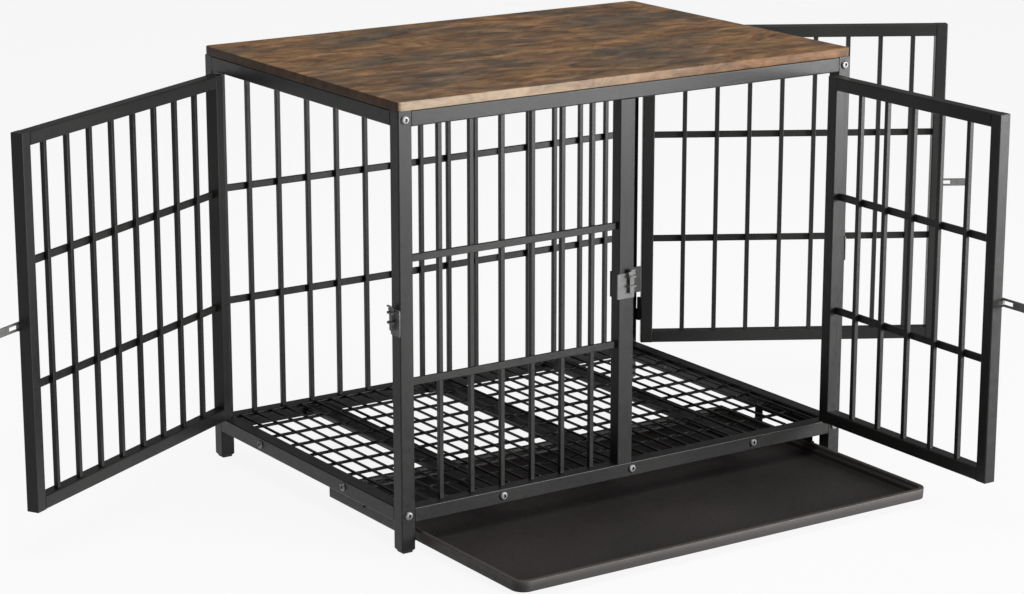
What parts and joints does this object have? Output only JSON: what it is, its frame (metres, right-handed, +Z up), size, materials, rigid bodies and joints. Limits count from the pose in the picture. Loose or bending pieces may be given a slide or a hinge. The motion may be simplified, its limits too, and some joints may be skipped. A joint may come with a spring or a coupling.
{
  "type": "dog crate end table",
  "caption": "Dog crate used as an end table: wooden top on a black square-tube frame with barred doors on three sides, drop-bolt latches, floor grate and pull-out tray",
  "frame": {"origin": "on the floor, in the middle of the crate's own footprint, without the open doors and the pulled-out tray", "axes": "+X to the right along the front, +Y from the front to the back, +Z up to the table surface"},
  "size_m": [1.9888, 1.1058, 0.73],
  "materials": {
    "black_steel": "satin black powder coat",
    "wood_top": "rustic brown wood grain, satin",
    "tray_plastic": "moulded, finely grained",
    "foot_plastic": "moulded",
    "screw_steel": "zinc-plated"
  },
  "bodies": {
    "frame": {"table_top": "wood_top", "post_front_left": "black_steel", "post_front_right": "black_steel", "post_rear_left": "black_steel", "post_rear_right": "black_steel", "post_middle": "black_steel", "foot_plugs": "foot_plastic", "top_rail_front": "black_steel", "top_rail_rear": "black_steel", "top_rail_left": "black_steel", "top_rail_right": "black_steel", "bottom_rail_front": "black_steel", "bottom_rail_rear": "black_steel", "bottom_rail_left": "black_steel", "bottom_rail_right": "black_steel", "front_panel_bars": "black_steel", "front_panel_rails": "black_steel", "rear_panel_bars": "black_steel", "rear_panel_rails": "black_steel", "floor_grate": "black_steel", "grate_straps": "black_steel", "side_ledger_left": "black_steel", "side_ledger_right": "black_steel", "tray_runner_left": "black_steel", "tray_runner_right": "black_steel", "hinge_pins": "black_steel", "front_latch_keeper": "black_steel", "left_latch_keeper": "black_steel", "right_latch_keeper": "black_steel", "front_door_stop": "black_steel", "frame_screws": "screw_steel"},
    "tray": {"tray": "tray_plastic"},
    "left_door": {"left_door_hinge_stile": "black_steel", "left_door_free_stile": "black_steel", "left_door_bottom_rail": "black_steel", "left_door_top_rail": "black_steel", "left_door_bars": "black_steel", "left_door_cross_rails": "black_steel", "left_door_latch_tongue": "black_steel", "left_door_hinge_knuckles": "black_steel"},
    "right_door": {"right_door_hinge_stile": "black_steel", "right_door_free_stile": "black_steel", "right_door_bottom_rail": "black_steel", "right_door_top_rail": "black_steel", "right_door_bars": "black_steel", "right_door_cross_rails": "black_steel", "right_door_latch_tongue": "black_steel", "right_door_hinge_knuckles": "black_steel"},
    "front_door": {"front_door_hinge_stile": "black_steel", "front_door_free_stile": "black_steel", "front_door_bottom_rail": "black_steel", "front_door_top_rail": "black_steel", "front_door_bars": "black_steel", "front_door_cross_rails": "black_steel", "front_door_latch_tongue": "black_steel", "front_door_hinge_knuckles": "black_steel"},
    "left_latch_bolt": {"left_latch_bolt": "black_steel"},
    "right_latch_bolt": {"right_latch_bolt": "black_steel"},
    "front_latch_bolt": {"front_latch_bolt": "black_steel"}
  },
  "joints": [
    {"name": "left_door_hinge", "type": "hinge", "parent": "frame", "child": "left_door", "pos_m": [-0.454, 0.2865, 0.383], "axis": [0, 0, 1], "range_deg": [-89.5, 60.5]},
    {"name": "right_door_hinge", "type": "hinge", "parent": "frame", "child": "right_door", "pos_m": [0.454, 0.2865, 0.383], "axis": [0, 0, 1], "range_deg": [-59.5, 90.5]},
    {"name": "front_door_hinge", "type": "hinge", "parent": "frame", "child": "front_door", "pos_m": [0.4235, -0.317, 0.383], "axis": [0, 0, 1], "range_deg": [-90, 60]},
    {"name": "tray_slide", "type": "slide", "parent": "frame", "child": "tray", "axis": [0, 1, 0], "range_m": [-0.14, 0.305]},
    {"name": "left_latch_slide", "type": "slide", "parent": "frame", "child": "left_latch_bolt", "axis": [0, 0, 1], "range_m": [0, 0.022]},
    {"name": "right_latch_slide", "type": "slide", "parent": "frame", "child": "right_latch_bolt", "axis": [0, 0, 1], "range_m": [0, 0.022]},
    {"name": "front_latch_slide", "type": "slide", "parent": "frame", "child": "front_latch_bolt", "axis": [0, 0, 1], "range_m": [0, 0.022]}
  ]
}
